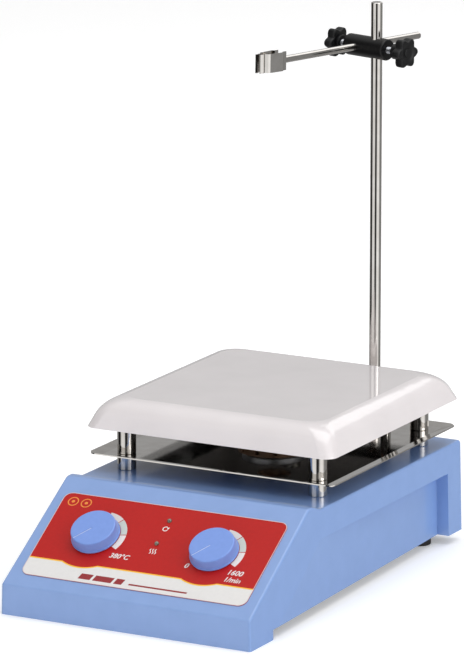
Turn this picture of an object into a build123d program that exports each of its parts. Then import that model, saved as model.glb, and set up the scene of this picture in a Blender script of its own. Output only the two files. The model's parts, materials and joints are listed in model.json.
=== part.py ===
from build123d import *
from math import atan2, cos, degrees, hypot, pi, radians, sin, tan
import os

# Hotplate magnetic stirrer with a support rod and a probe clip. Millimetres, +Z up, +X to the
# user's right, the control face looks along -Y. Heights start at the surface it stands on.
# Y positions are measured back from the front lip; every node is shifted by FRONT_Y on export,
# so that the origin is under the centre of the whole stirrer.

# ---------- driving dimensions ----------
FRONT_Y = -194.5          # front lip, from the origin

# housing
BASE_HALF = 94.5          # half width at the foot of the side walls
DRAFT = 0.025             # side walls lean in by this much per millimetre of height
DEPTH = 314.0
LIP_H = 21.0
TOE = 32.0                # the front lip reaches down to the table over this depth
SKIRT_Z = 7.0             # lower edge of the side and rear walls
DECK_Z = 71.5
RIDGE_Z = 75.8
RIDGE_Y = 85.5            # top of the control slope
RIDGE_FLAT = 6.0          # level stretch behind it, then a ramp down to the deck
RIDGE_RAMP = 13.0
WALL = 2.5
EDGE_R = 1.6
COLUMN_Y = 292.6          # front face of the rear corner columns
RECESS_DEPTH = 8.75
RECESS_TOP = 51.7
BOSS_R = 4.5              # screw bosses inside the housing, above the feet
REAR_BOSS_TOP = 44.0
FEET = [(-76.0, 50.0), (76.0, 50.0), (-74.0, 288.0), (74.0, 288.0)]
FOOT_R = 8.0

# heating plate and what holds it
PLATE_Y = 211.0
PLATE_W, PLATE_D, PLATE_H = 190.0, 196.0, 19.4
PLATE_Z = 103.1           # underside
PLATE_CORNER_R = 9.0
PLATE_LEAN = 22.0         # its sides lean in by this angle, then round over to the top
PLATE_EDGE_R = 18.0
HOLLOW_H = 11.2           # depth of the hollow underside
PLATE_RIM = 10.0          # width of the rim round the hollow
ELEMENT_T, INSULATION_T, COVER_T = 2.0, 5.5, 1.0
COVER_HALF = 66.0         # heater cover's half width, and its screws
COVER_SCREW = 54.0
POST_X, POST_Y = 73.5, 76.0
POST_R = 6.5
STUD_R = 3.0
STUD_HOLE_R = 3.2

# drip tray
TRAY_Z = 82.0
TRAY_T = 0.8
TRAY_HALF = 86.0
FLANGE_W = 8.5
FLANGE_ANGLE = 12.0
TRAY_CORNER_R = 8.0
CONDUIT_X, CONDUIT_Y, CONDUIT_R = 47.0, 288.0, 3.75

# control face
HEAT_X, STIR_X = -46.2, 43.9   # knob centres
KNOB_S = 52.8             # distance up the slope
KNOB_R, KNOB_TOP_R, KNOB_H = 16.7, 15.6, 7.7
KNOB_GAP = 0.5
SKIRT_R, SKIRT_H = 17.0, 1.2   # thin rim round the foot of a knob
POINTER = 230.0           # both pointer lines at their lowest setting, turned from +X
POINTER_W, POINTER_DEPTH = 0.9, 0.6
POT_R, POT_H = 12.0, 10.0
LABEL_T = 0.4
LABEL_W, LABEL_S0, LABEL_S1 = 170.0, 11.0, 87.0
LED_HEAT_S, LED_STIR_S = 53.2, 74.2
LED_R = 1.6
SHAFT_R = 3.0
BUSH_R = 3.9

# stirring drive
MOTOR_R, MOTOR_H = 26.0, 36.0
MOTOR_TOP = 60.0
DRIVE_R = 3.0             # motor shaft
DRIVE_HOLE_R = 10.0       # clearance hole through deck and tray
CARRIER_R, CARRIER_T, CARRIER_Z = 22.0, 4.0, 90.5
MAGNET_R, MAGNET_T, MAGNET_X = 6.0, 5.0, 14.0
RING_R, RING_H = 25.0, 6.0
RING_HOLES = 12

# electronics
BOARD_Z = 18.0
BOARD_T = 1.6
BOARD = (-60.0, 60.0, 82.0, 176.0)
TERMINAL_LEFT, TERMINAL_RIGHT = -37.0, 32.0
TERMINAL_Y = 165.0
LEAD_R, MAINS_R = 1.6, 1.9

# support rod and clamp
ROD_X, ROD_Y, ROD_R = 19.0, 326.0, 4.0
ROD_BOTTOM, ROD_TOP = 36.0, 372.0
BRACKET_Z0, BRACKET_Z1 = 30.0, 56.0
CLAMP_Z = 339.5
CLAMP_TURN = -14.0        # the bosshead's long axis, turned from +X
CLAMP_R = 7.5
CLAMP_LEFT, CLAMP_RIGHT = -25.3, 10.5
ARM_OFFSET = -14.3        # arm's axis, along the bosshead from the rod
ARM_R = 2.5
ARM_REAR, ARM_FRONT = 61.5, -86.4
ARM_TILT = 1.2            # the arm's front end stands this many degrees high
SCREW_R = 2.5
STAR_R, STAR_T, STAR_HUB_R = 10.8, 6.5, 5.5
ROD_GRIP, ROD_HUB = 22.5, 6.0       # where each star grip sits along the bosshead's axis, and its hub's length
ARM_GRIP, ARM_HUB = -33.2, 2.0
LOBES = 6
RUN = 0.05                # radial clearance of running and sliding fits
GAP = 0.3                 # clearance where two bodies pass each other

# probe clip
CLIP_H = 13.0
CLIP_T = 0.6
CLIP_TAIL = 3.4           # inner face of each strip where it meets the collar
CLIP_REAR, CLIP_FRONT = 5.0, 4.2   # half widths of the clip's box
CLIP_NECK = 1.0           # half gap between the box and the jaws
CLIP_BOX_L = 12.0
LOBE_L, LOBE_DEPTH = 4.2, 0.45     # each jaw ends in one lobe

# mains inlet
INLET_X, INLET_Z = -46.0, 37.0
INLET_DEPTH = 16.0
INLET_SCREW = 20.0
BRACKET_SCREW = 18.0

# ---------- derived geometry ----------
SLOPE_ANGLE = degrees(atan2(RIDGE_Z - LIP_H, RIDGE_Y))
HEATER_TOP = PLATE_Z + HOLLOW_H
COVER_TOP = HEATER_TOP - ELEMENT_T - INSULATION_T
BOARD_TOP = BOARD_Z + BOARD_T
PIN_Y = DEPTH - INLET_DEPTH - 4   # inner end of the mains pins
FLOOR_IN = SKIRT_Z + 1.0  # top of the gap under the base plate
BASE_T = 1.5
DECK_IN = DECK_Z - WALL   # underside of the deck


def half_width(z):
    return BASE_HALF - DRAFT * z


def on_slope(x, s, h=0.0):
    """Location on the control face: x across, s up the slope, h out of it."""
    a = radians(SLOPE_ANGLE)
    origin = (x, s * cos(a) - h * sin(a), LIP_H + s * sin(a) + h * cos(a))
    return Location(Plane(origin=origin, x_dir=(1, 0, 0), z_dir=(0, -sin(a), cos(a))))


def cyl(r, z0, z1, x=0.0, y=0.0):
    """Upright cylinder between two heights."""
    return Pos(x, y, (z0 + z1) / 2) * Cylinder(r, z1 - z0)


def block(x0, x1, y0, y1, z0, z1):
    return Pos((x0 + x1) / 2, (y0 + y1) / 2, (z0 + z1) / 2) * Box(x1 - x0, y1 - y0, z1 - z0)


def tube(r_out, r_in, z0, z1, x=0.0, y=0.0):
    return cyl(r_out, z0, z1, x, y) - cyl(r_in, z0 - 1, z1 + 1, x, y)


def hexagon(across, z0, z1, x=0.0, y=0.0):
    return Pos(x, y, z0) * extrude(RegularPolygon(across / 2, 6, major_radius=False), z1 - z0)


def posts():
    """The four post axes."""
    return corners(POST_X, POST_Y, PLATE_Y)


def corners(x, y, middle=0.0):
    """The four corners of a rectangle about (0, middle)."""
    return [(sx * x, middle + sy * y) for sx in (-1, 1) for sy in (-1, 1)]


# ---------- housing ----------


def side_profile():
    """Outline of the housing seen from the side, as a face in the YZ plane."""
    points = [(0, 0), (0, LIP_H), (RIDGE_Y, RIDGE_Z), (RIDGE_Y + RIDGE_FLAT, RIDGE_Z),
              (RIDGE_Y + RIDGE_FLAT + RIDGE_RAMP, DECK_Z), (DEPTH, DECK_Z), (DEPTH, SKIRT_Z),
              (TOE, SKIRT_Z), (TOE, 0)]
    face = make_face(Polyline(*points, close=True))
    radii = {1: 2.0, 2: 6.0, 3: 6.0, 4: 18.0, 5: 3.0}
    for index, radius in radii.items():
        y, z = points[index]
        corner = face.vertices().sort_by_distance(Vector(y, z, 0))[0]
        face = fillet(corner, radius)
    return face


def side_extrusion(face, width):
    """Extrude a side view, drawn as (y, z), symmetrically across X."""
    plane = Plane(origin=(0, 0, 0), x_dir=(0, 1, 0), z_dir=(1, 0, 0))
    return extrude(plane * face, amount=width, both=True)


def drafted_prism(inset):
    """A long prism whose sides carry the draft of the side walls."""
    top = 100.0
    low = -5.0
    outline = [(-half_width(low) + inset, low), (half_width(low) - inset, low),
               (half_width(top) - inset, top), (-half_width(top) + inset, top)]
    plane = Plane(origin=(0, -10, 0), x_dir=(1, 0, 0), z_dir=(0, -1, 0))
    return extrude(plane * make_face(Polyline(*outline, close=True)), amount=-(DEPTH + 20))


def side_recess(side, grow):
    """Tapered recess in a side wall, growing deeper from a slanted start to the rear column."""
    sections = []
    for z, start in ((-3.0, 26.0), (RECESS_TOP + grow, 102.0)):
        out = half_width(z)
        deep = out - RECESS_DEPTH - grow
        back = COLUMN_Y + grow
        reach = 3.0
        run = (back - start) * (RECESS_DEPTH + grow + reach) / (RECESS_DEPTH + grow)
        outline = [(side * deep, back), (side * (out + reach), back), (side * (out + reach), back - run)]
        sections.append(Pos(0, 0, z) * make_face(Polyline(*outline, close=True)))
    return loft(sections, ruled=True)


def make_housing():
    outer = side_extrusion(side_profile(), 110) & drafted_prism(0)
    top_edges = outer.edges().filter_by(lambda e: abs(abs(e.center().X) - BASE_HALF) < 3
                                        and e.center().Z > SKIRT_Z + 1)
    outer = fillet(top_edges, EDGE_R)
    inner_face = offset(side_profile(), amount=-WALL)
    inner = side_extrusion(inner_face, 110)
    opening = block(-110, 110, TOE + WALL, DEPTH - WALL, -5, SKIRT_Z + 8)
    inner = (inner + opening) & drafted_prism(WALL)
    for side in (-1, 1):
        outer -= side_recess(side, 0)
        inner -= side_recess(side, WALL)
    shell = outer - inner
    for x, y in FEET:
        if y < RIDGE_Y:
            shell += cyl(BOSS_R, FLOOR_IN + BASE_T, LIP_H + (y - 7) * tan(radians(SLOPE_ANGLE)), x, y)
        else:
            side = 1 if x > 0 else -1
            shell += cyl(BOSS_R, FLOOR_IN + BASE_T, REAR_BOSS_TOP, x, y)
            wall_x = x + side * (half_width(0) - RECESS_DEPTH - abs(x) - 1)
            shell += block(min(x, wall_x), max(x, wall_x), y - 1.5, y + 1.5, FLOOR_IN + 3, REAR_BOSS_TOP)
        shell -= cyl(1.6, FLOOR_IN, FLOOR_IN + 16, x, y)
    for x, y in posts():
        shell -= cyl(STUD_HOLE_R, DECK_IN - 1, DECK_Z + 1, x, y)
    shell -= cyl(DRIVE_HOLE_R, DECK_IN - 1, DECK_Z + 1, 0, PLATE_Y)
    shell -= cyl(CONDUIT_R + 0.1, DECK_IN - 1, DECK_Z + 1, CONDUIT_X, CONDUIT_Y)
    for x in (HEAT_X, STIR_X):
        shell -= on_slope(x, KNOB_S, -2) * Cylinder(BUSH_R + 0.1, 12)
    for s in (LED_HEAT_S, LED_STIR_S):
        shell -= on_slope(0, s, -2) * Cylinder(LED_R + 0.05, 12)
    shell -= block(INLET_X - 14, INLET_X + 14, DEPTH - 5, DEPTH + 5, INLET_Z - 10.5, INLET_Z + 10.5)
    for x in (INLET_X - INLET_SCREW, INLET_X + INLET_SCREW):
        shell -= Pos(x, DEPTH, INLET_Z) * Rot(90, 0, 0) * Cylinder(1.5, 12)
    for x in (ROD_X - BRACKET_SCREW, ROD_X + BRACKET_SCREW):
        shell -= Pos(x, DEPTH, (BRACKET_Z0 + BRACKET_Z1) / 2) * Rot(90, 0, 0) * Cylinder(2.0, 12)
    return shell


def make_base_plate():
    face = side_extrusion(make_face(Polyline(
        (TOE + WALL + 0.5, FLOOR_IN), (DEPTH - WALL - 0.4, FLOOR_IN),
        (DEPTH - WALL - 0.4, FLOOR_IN + BASE_T), (TOE + WALL + 0.5, FLOOR_IN + BASE_T), close=True)), 110)
    plate = face & drafted_prism(WALL + 0.4)
    for side in (-1, 1):
        plate -= side_recess(side, WALL + 0.4)
    for x, y in FEET:
        plate -= cyl(1.9, FLOOR_IN - 1, FLOOR_IN + BASE_T + 1, x, y)
    for x in range(-40, 41, 10):
        plate -= block(x - 1.5, x + 1.5, 240, 275, FLOOR_IN - 1, FLOOR_IN + BASE_T + 1)
    return plate


def make_feet():
    """Rubber feet with a counterbore for the screw head."""
    foot = cyl(FOOT_R, 0, FLOOR_IN)
    foot = fillet(foot.edges().group_by(Axis.Z)[0], 1.0)
    foot = foot - cyl(4.0, -1, 3.5) - cyl(1.9, 0, FLOOR_IN + 1)
    return [Pos(x, y, 0) * foot for x, y in FEET]


def make_foot_screws():
    screw = cyl(3.4, 1.2, 3.5) + cyl(1.5, 3.5, FLOOR_IN + 15)
    screw -= block(-2.2, 2.2, -0.4, 0.4, 0.5, 2.0)
    screw -= block(-0.4, 0.4, -2.2, 2.2, 0.5, 2.0)
    return [Pos(x, y, 0) * screw for x, y in FEET]


# ---------- control face ----------


def make_label():
    height = LABEL_S1 - LABEL_S0
    outline = RectangleRounded(LABEL_W, height, 6)
    label = on_slope(0, (LABEL_S0 + LABEL_S1) / 2) * extrude(outline, LABEL_T)
    for x in (HEAT_X, STIR_X):
        label -= on_slope(x, KNOB_S) * Cylinder(BUSH_R + 0.2, 4)
    for s in (LED_HEAT_S, LED_STIR_S):
        label -= on_slope(0, s) * Cylinder(LED_R + 0.05, 4)
    return label


def make_led(s):
    lens = Cylinder(LED_R, 6) + Pos(0, 0, 3) * Sphere(LED_R)
    return on_slope(0, s, -2.4) * lens


def make_potentiometer(x):
    """Round body behind the panel, with a threaded bush through it and a bored shaft hole."""
    middle = -WALL - 1.0 - POT_H / 2
    body = Pos(0, 0, middle) * Cylinder(POT_R, POT_H)
    lugs = Pos(0, -POT_R - 2, middle) * Box(12, 8, 1.6)
    bush = Pos(0, 0, 0.5) * Cylinder(BUSH_R, 5.0)
    bore = Cylinder(SHAFT_R + RUN, 14.0)
    neck = Pos(0, 0, -WALL) * Cylinder(BUSH_R, 2.0)
    return on_slope(x, KNOB_S) * (body + lugs + neck + bush - bore)


def make_pot_nut(x):
    nut = extrude(RegularPolygon(5.6, 6, major_radius=False), 1.8) - Cylinder(BUSH_R, 8)
    return on_slope(x, KNOB_S, LABEL_T) * nut


def make_knob(x):
    """Low tapered knob with a thin rim at its foot and an engraved pointer line."""
    base = LABEL_T + KNOB_GAP
    knob = Pos(0, 0, KNOB_H / 2) * Cone(KNOB_R, KNOB_TOP_R, KNOB_H)
    knob = fillet(knob.edges().group_by(Axis.Z)[-1], 1.0)
    skirt = Pos(0, 0, SKIRT_H / 2) * Cylinder(SKIRT_R, SKIRT_H)
    knob += fillet(skirt.edges().group_by(Axis.Z)[-1], 0.3)
    knob -= Pos(0, 0, 1.2) * Cylinder(8.0, 3.0)
    knob -= Pos(0, 0, 2.0) * Cylinder(SHAFT_R, 7.2)
    start, end = 0.8, KNOB_TOP_R - 0.4
    groove = Pos((start + end) / 2, 0, KNOB_H) * Box(end - start, POINTER_W, 2 * POINTER_DEPTH)
    knob -= Rot(0, 0, POINTER) * groove
    return on_slope(x, KNOB_S, base) * knob


def make_knob_shaft(x):
    top = LABEL_T + KNOB_GAP + 5.6
    bottom = -6.0
    return on_slope(x, KNOB_S, (top + bottom) / 2) * Cylinder(SHAFT_R, top - bottom)


# ---------- heating plate ----------


def plate_edge():
    """(height, inset) stations up the plate's edge: a leaning side, then an arc to the flat top."""
    start = 90 - PLATE_LEAN
    top_inset = PLATE_H * tan(radians(PLATE_LEAN)) + PLATE_EDGE_R * tan(radians(start / 2))
    steps = 6
    arc = []
    for k in range(steps + 1):
        slope = radians(start * (1 - k / steps))
        arc.append((PLATE_H - PLATE_EDGE_R * (1 - cos(slope)), top_inset - PLATE_EDGE_R * sin(slope)))
    height, inset = arc[0]
    return [(0, 0), (height / 2, inset / 2)] + arc


def make_plate():
    """Glazed plate with a broad soft edge, hollow below, with a boss for each stud."""
    sections = []
    for height, inset in plate_edge():
        outline = RectangleRounded(PLATE_W - 2 * inset, PLATE_D - 2 * inset, PLATE_CORNER_R + inset / 3)
        sections.append(Pos(0, 0, height) * outline)
    plate = loft(sections) & Pos(0, 0, PLATE_H / 2) * Box(PLATE_W + 2, PLATE_D + 2, PLATE_H)
    outline = RectangleRounded(PLATE_W - 2 * PLATE_RIM, PLATE_D - 2 * PLATE_RIM, 8)
    hollow = Pos(0, 0, -1) * extrude(outline, HOLLOW_H + 1)
    for x, y in corners(POST_X, POST_Y):
        hollow -= cyl(9.0, -2, HOLLOW_H + 1, x, y)
    plate -= hollow
    for x, y in corners(POST_X, POST_Y):
        plate -= cyl(STUD_R, -1, 10, x, y)
    return Pos(0, PLATE_Y, PLATE_Z) * plate


def make_heater_element():
    """Mica heater: a disc with a raised spiral band on its lower face."""
    z0 = HEATER_TOP - ELEMENT_T
    disc = tube(60, 6, z0 + 0.8, HEATER_TOP, 0, PLATE_Y)
    for r in range(14, 57, 7):
        disc += tube(r + 3, r, z0, z0 + 0.8, 0, PLATE_Y)
    return disc


def make_insulation():
    return tube(62, 12, COVER_TOP, HEATER_TOP - ELEMENT_T, 0, PLATE_Y)


def make_heater_cover():
    """Steel cover that holds the heater up, with a shallow rim."""
    z1 = COVER_TOP
    cover = block(-COVER_HALF, COVER_HALF, PLATE_Y - COVER_HALF, PLATE_Y + COVER_HALF, z1 - COVER_T, z1)
    cover = fillet(cover.edges().filter_by(Axis.Z), 8)
    cover -= cyl(12, z1 - 5, z1 + 5, 0, PLATE_Y)
    for x, y in corners(COVER_SCREW, COVER_SCREW, PLATE_Y):
        cover -= cyl(2.1, z1 - 5, z1 + 5, x, y)
    return cover


def make_cover_screws():
    z1 = COVER_TOP - COVER_T
    screws = []
    for x, y in corners(COVER_SCREW, COVER_SCREW, PLATE_Y):
        head = fillet(cyl(3.4, z1 - 1.8, z1, x, y).edges().group_by(Axis.Z)[0], 0.8)
        screws.append(head + cyl(2.0, z1, HEATER_TOP, x, y))
    return screws


def make_upper_post(x, y):
    post = tube(POST_R, STUD_HOLE_R, TRAY_Z + TRAY_T, PLATE_Z, x, y)
    return chamfer(post.edges().filter_by(GeomType.CIRCLE).filter_by(lambda e: e.radius > 5), 0.4)


def make_lower_post(x, y):
    post = tube(POST_R, STUD_HOLE_R, DECK_Z, TRAY_Z, x, y)
    return chamfer(post.edges().filter_by(GeomType.CIRCLE).filter_by(lambda e: e.radius > 5), 0.4)


def make_studs():
    return [cyl(STUD_R, DECK_IN - 9, PLATE_Z + 9, x, y) for x, y in posts()]


def make_stud_nuts():
    nuts = []
    for x, y in posts():
        washer = tube(6.5, STUD_R, DECK_IN - 1.2, DECK_IN, x, y)
        nut = hexagon(10, DECK_IN - 6.2, DECK_IN - 1.2, x, y) - cyl(STUD_R, 0, 90, x, y)
        nuts.append(washer + nut)
    return nuts


# ---------- drip tray ----------


def make_flange(length):
    """Flared flange along +Y of the tray's edge, mitred at both ends, before it is turned."""
    a = radians(FLANGE_ANGLE)
    reach, rise = FLANGE_W * cos(a), FLANGE_W * sin(a)
    section = Polyline((0, 0), (reach, rise), (reach - TRAY_T * sin(a), rise + TRAY_T * cos(a)),
                       (-TRAY_T * tan(a / 2), TRAY_T), close=True)
    half = length / 2 + reach
    plane = Plane(origin=(0, -half, 0), x_dir=(1, 0, 0), z_dir=(0, -1, 0))
    flange = extrude(plane * make_face(section), amount=-2 * half)
    for end in (-1, 1):
        cutter = make_face(Polyline((-1, end * (length / 2 - 1)), (reach + 1, end * (half + 1)),
                                    (-1, end * (half + 1)), close=True))
        flange -= extrude(Pos(0, 0, -1) * cutter, rise + 3)
    return flange


def make_tray():
    """Pressed pan: flat floor and four low flared flanges, mitred and rounded at the corners."""
    tray = block(-TRAY_HALF, TRAY_HALF, -TRAY_HALF, TRAY_HALF, 0, TRAY_T)
    for turn in (0, 90, 180, 270):
        tray += Rot(0, 0, turn) * Pos(TRAY_HALF, 0, 0) * make_flange(2 * TRAY_HALF)
    width = 2 * (TRAY_HALF + FLANGE_W)
    tray &= extrude(Pos(0, 0, -1) * RectangleRounded(width, width, TRAY_CORNER_R), 10)
    for x, y in corners(POST_X, POST_Y):
        tray -= cyl(STUD_HOLE_R, -1, 2, x, y)
    tray -= cyl(DRIVE_HOLE_R, -1, 2)
    tray -= cyl(CONDUIT_R + 0.1, -1, 2, CONDUIT_X, CONDUIT_Y - PLATE_Y)
    return Pos(0, PLATE_Y, TRAY_Z) * tray


def make_conduit():
    """Tube that carries the heater leads from the housing up to the plate."""
    return tube(CONDUIT_R, 2.9, DECK_IN - 4, PLATE_Z + 7, CONDUIT_X, CONDUIT_Y)


def make_insulating_ring():
    """Low phenolic ring on the tray round the drive shaft, with holes round its wall."""
    z0 = TRAY_Z + TRAY_T
    ring = tube(RING_R, RING_R - 6, z0, z0 + RING_H, 0, PLATE_Y)
    for k in range(RING_HOLES):
        turn = Rot(0, 0, k * 360 / RING_HOLES)
        hole = Pos(0, PLATE_Y, z0 + RING_H / 2) * turn * Pos(RING_R, 0, 0) * Rot(0, 90, 0)
        ring -= hole * Cylinder(1.6, 6)
    ring += tube(RING_R - 5.5, DRIVE_HOLE_R, z0, z0 + 1.5, 0, PLATE_Y)
    return ring


def make_temperature_sensor():
    """Probe tube pressed into the underside of the plate beside the heater."""
    y = PLATE_Y + COVER_HALF + 10
    probe = Pos(0, y, HEATER_TOP - 2.5) * Rot(0, 90, 0) * Cylinder(2.5, 44)
    clamp = block(-4, 4, y - 3, y + 3, HEATER_TOP - 6.5, HEATER_TOP)
    return probe + clamp


# ---------- stirring drive ----------


def make_motor():
    """Motor can with a front boss and a bored shaft hole."""
    z0 = MOTOR_TOP - MOTOR_H
    can = cyl(MOTOR_R, z0, MOTOR_TOP, 0, PLATE_Y)
    can = fillet(can.edges().filter_by(GeomType.CIRCLE), 2.0)
    can += cyl(8.0, MOTOR_TOP, MOTOR_TOP + 3.5, 0, PLATE_Y)
    can += cyl(7.0, z0 - 3, z0, 0, PLATE_Y)
    return can - cyl(DRIVE_R + RUN, z0 + 4, MOTOR_TOP + 10, 0, PLATE_Y)


def make_motor_bracket():
    """Sheet bracket between the motor's face and the underside of the deck."""
    plate = block(-34, 34, PLATE_Y - 34, PLATE_Y + 34, MOTOR_TOP, MOTOR_TOP + 2)
    plate = fillet(plate.edges().filter_by(Axis.Z), 6)
    plate -= cyl(8.1, MOTOR_TOP - 1, MOTOR_TOP + 3, 0, PLATE_Y)
    for x, y in corners(28, 28, PLATE_Y):
        plate += cyl(4.5, MOTOR_TOP + 2, DECK_IN, x, y)
    return plate


def make_motor_screws():
    screws = []
    for x, y in corners(12, 12, PLATE_Y):
        screw = cyl(3, MOTOR_TOP + 2, MOTOR_TOP + 4, x, y)
        screws.append(fillet(screw.edges().group_by(Axis.Z)[-1], 0.8))
    return screws


def make_drive_shaft():
    return cyl(DRIVE_R, MOTOR_TOP - MOTOR_H + 5, CARRIER_Z + 3, 0, PLATE_Y)


def make_magnet_carrier():
    carrier = cyl(CARRIER_R, CARRIER_Z, CARRIER_Z + CARRIER_T, 0, PLATE_Y)
    carrier = fillet(carrier.edges().filter_by(GeomType.CIRCLE), 0.6)
    carrier += cyl(6.0, CARRIER_Z - 6, CARRIER_Z, 0, PLATE_Y)
    carrier -= cyl(DRIVE_R, CARRIER_Z - 8, CARRIER_Z + 3, 0, PLATE_Y)
    return carrier


def make_magnets():
    z0 = CARRIER_Z + CARRIER_T
    return [chamfer(cyl(MAGNET_R, z0, z0 + MAGNET_T, s * MAGNET_X, PLATE_Y).edges().group_by(Axis.Z)[-1], 0.5)
            for s in (-1, 1)]


# ---------- electronics ----------


def make_board():
    board = block(*BOARD, BOARD_Z, BOARD_TOP)
    for x, y in board_corners():
        board -= cyl(1.6, BOARD_Z - 1, BOARD_Z + 3, x, y)
    return board


def board_corners():
    return [(x, y) for x in (BOARD[0] + 5, BOARD[1] - 5) for y in (BOARD[2] + 5, BOARD[3] - 5)]


def make_standoffs():
    return [tube(3.5, 1.6, FLOOR_IN + BASE_T, BOARD_Z, x, y) for x, y in board_corners()]


def make_board_screws():
    return [cyl(2.9, BOARD_TOP, BOARD_TOP + 1.8, x, y) + cyl(1.5, FLOOR_IN + BASE_T + 2, BOARD_TOP, x, y)
            for x, y in board_corners()]


def make_transformer():
    """Laminated core with a wound bobbin."""
    z0 = BOARD_TOP
    core = block(-50, -14, 98, 130, z0 + 3, z0 + 27)
    core = chamfer(core.edges().filter_by(Axis.Y), 1.0)
    bobbin = block(-43, -21, 93, 135, z0, z0 + 24)
    bobbin = fillet(bobbin.edges().filter_by(Axis.Z), 3.0)
    return core + bobbin


def make_heat_sink():
    """Finned aluminium heat sink."""
    z0 = BOARD_TOP
    sink = block(10, 50, 96, 99, z0, z0 + 24)
    for k in range(9):
        sink += block(10 + k * 4.75, 12 + k * 4.75, 99, 112, z0, z0 + 24)
    return sink


def make_triac():
    z0 = BOARD_TOP
    body = block(25, 35, 91.5, 96, z0 + 5, z0 + 15) + block(25, 35, 94.7, 96, z0 + 15, z0 + 20)
    for x in (27.5, 30, 32.5):
        body += block(x - 0.4, x + 0.4, 92.5, 93.3, z0, z0 + 5)
    return body


def make_capacitors():
    z0 = BOARD_TOP
    caps = []
    for x, y, r, h in ((2, 125, 6.5, 22), (2, 144, 6.5, 22), (18, 128, 4, 12), (18, 140, 4, 12)):
        caps.append(fillet(cyl(r, z0, z0 + h, x, y).edges().group_by(Axis.Z)[-1], 0.8))
    return caps


def make_terminal_blocks():
    z0 = BOARD_TOP
    blocks = []
    for x in (TERMINAL_LEFT, TERMINAL_RIGHT):
        body = block(x - 12, x + 12, TERMINAL_Y - 5, TERMINAL_Y + 5, z0, z0 + 11)
        body = chamfer(body.edges().group_by(Axis.Z)[-1].filter_by(Axis.X), 1.5)
        for k in (-1, 0, 1):
            body -= cyl(2.2, z0 + 8, z0 + 12, x + k * 7.5, TERMINAL_Y)
        blocks.append(body)
    return blocks


def wire(points, radii, radius):
    """Round wire along straight runs joined by tangent arcs."""
    path = FilletPolyline(*points, radius=radii)
    start = Plane(origin=path @ 0, z_dir=path % 0)
    return sweep(start * Circle(radius), path=path)


def make_heater_leads():
    """Pair of leads from the rear terminal block up the conduit to the plate."""
    z = BOARD_TOP + 5
    x = TERMINAL_RIGHT + 4
    rise = [(x, TERMINAL_Y + 5, z), (x, TERMINAL_Y + 30, z), (CONDUIT_X - 2, 240, z),
            (CONDUIT_X, CONDUIT_Y, z + 3), (CONDUIT_X, CONDUIT_Y, PLATE_Z + 5)]
    return wire(rise, [40.0, 60.0, 20.0], LEAD_R)


def make_mains_wires():
    z = BOARD_TOP + 5
    x = TERMINAL_LEFT
    run = [(x, TERMINAL_Y + 5, z), (x, TERMINAL_Y + 27, z), (INLET_X, 232, z + 4),
           (INLET_X, 268, INLET_Z), (INLET_X, PIN_Y, INLET_Z)]
    return wire(run, [30.0, 40.0, 30.0], MAINS_R)


# ---------- mains inlet and rod bracket, on the rear wall ----------


def inlet_outline(width, height):
    """Rectangle with its two upper corners cut off, drawn as (x, z)."""
    w, h, c = width / 2, height / 2, height / 3
    return make_face(Polyline((-w, -h), (w, -h), (w, h - c), (w - c, h), (-w + c, h), (-w, h - c), close=True))


def rear_plane(x, z, y=DEPTH):
    return Plane(origin=(x, y, z), x_dir=(1, 0, 0), z_dir=(0, -1, 0))


def make_inlet():
    """Appliance inlet: flange outside the wall, body inside it, open socket to the rear."""
    plane = rear_plane(INLET_X, INLET_Z)
    flange = extrude(plane * RectangleRounded(50, 25, 5), amount=-2.5)
    body = extrude(plane * Rectangle(27.6, 20.6), amount=INLET_DEPTH)
    socket = extrude(rear_plane(INLET_X, INLET_Z, DEPTH + 3) * inlet_outline(24.2, 16.8), amount=16.0)
    inlet = flange + body - socket
    for pin in make_inlet_pins():
        inlet -= pin
    for x in (INLET_X - INLET_SCREW, INLET_X + INLET_SCREW):
        inlet -= Pos(x, DEPTH, INLET_Z) * Rot(90, 0, 0) * Cylinder(1.7, 12)
    return inlet


def make_inlet_pins():
    """Three flat pins standing in the socket; the earth pin is the upper one."""
    pins = []
    for x, z, out in ((-7, -2, 0), (7, -2, 0), (0, 2, 1.5)):
        pin = block(INLET_X + x - 1, INLET_X + x + 1, PIN_Y, DEPTH - 2 + out,
                    INLET_Z + z - 2, INLET_Z + z + 2)
        pins.append(pin)
    return pins


def rear_screw(x, z, r, head, depth, face):
    """Pan-head screw driven forward into the rear wall at (x, z)."""
    shank = Pos(x, face - depth / 2, z) * Rot(90, 0, 0) * Cylinder(r, depth)
    cap = Pos(x, face + head * 0.35, z) * Rot(90, 0, 0) * Cylinder(head, head * 0.7)
    slot = block(x - head, x + head, face + head * 0.45, face + head, z - 0.5, z + 0.5)
    return shank + cap - slot


def make_inlet_screws():
    return [rear_screw(INLET_X + s * INLET_SCREW, INLET_Z, 1.5, 2.8, 10, DEPTH + 2.5) for s in (-1, 1)]


def make_rod_bracket():
    """Cast bracket on the rear wall with a smooth upright bore for the rod's lower end."""
    flange = block(ROD_X - 25, ROD_X + 25, DEPTH, DEPTH + 3.5, BRACKET_Z0, BRACKET_Z1)
    flange = fillet(flange.edges().filter_by(Axis.Y), 4)
    boss = cyl(10.5, BRACKET_Z0, BRACKET_Z1, ROD_X, ROD_Y)
    boss += block(ROD_X - 10.5, ROD_X + 10.5, DEPTH + 1, ROD_Y, BRACKET_Z0, BRACKET_Z1)
    bracket = flange + boss
    bracket -= cyl(ROD_R + RUN, ROD_BOTTOM - 0.5, BRACKET_Z1 + 1, ROD_X, ROD_Y)
    for x in (ROD_X - BRACKET_SCREW, ROD_X + BRACKET_SCREW):
        bracket -= Pos(x, DEPTH, (BRACKET_Z0 + BRACKET_Z1) / 2) * Rot(90, 0, 0) * Cylinder(2.1, 20)
    return bracket


def make_bracket_screws():
    z = (BRACKET_Z0 + BRACKET_Z1) / 2
    return [rear_screw(ROD_X + s * BRACKET_SCREW, z, 2.0, 3.6, 10, DEPTH + 3.5) for s in (-1, 1)]


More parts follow.
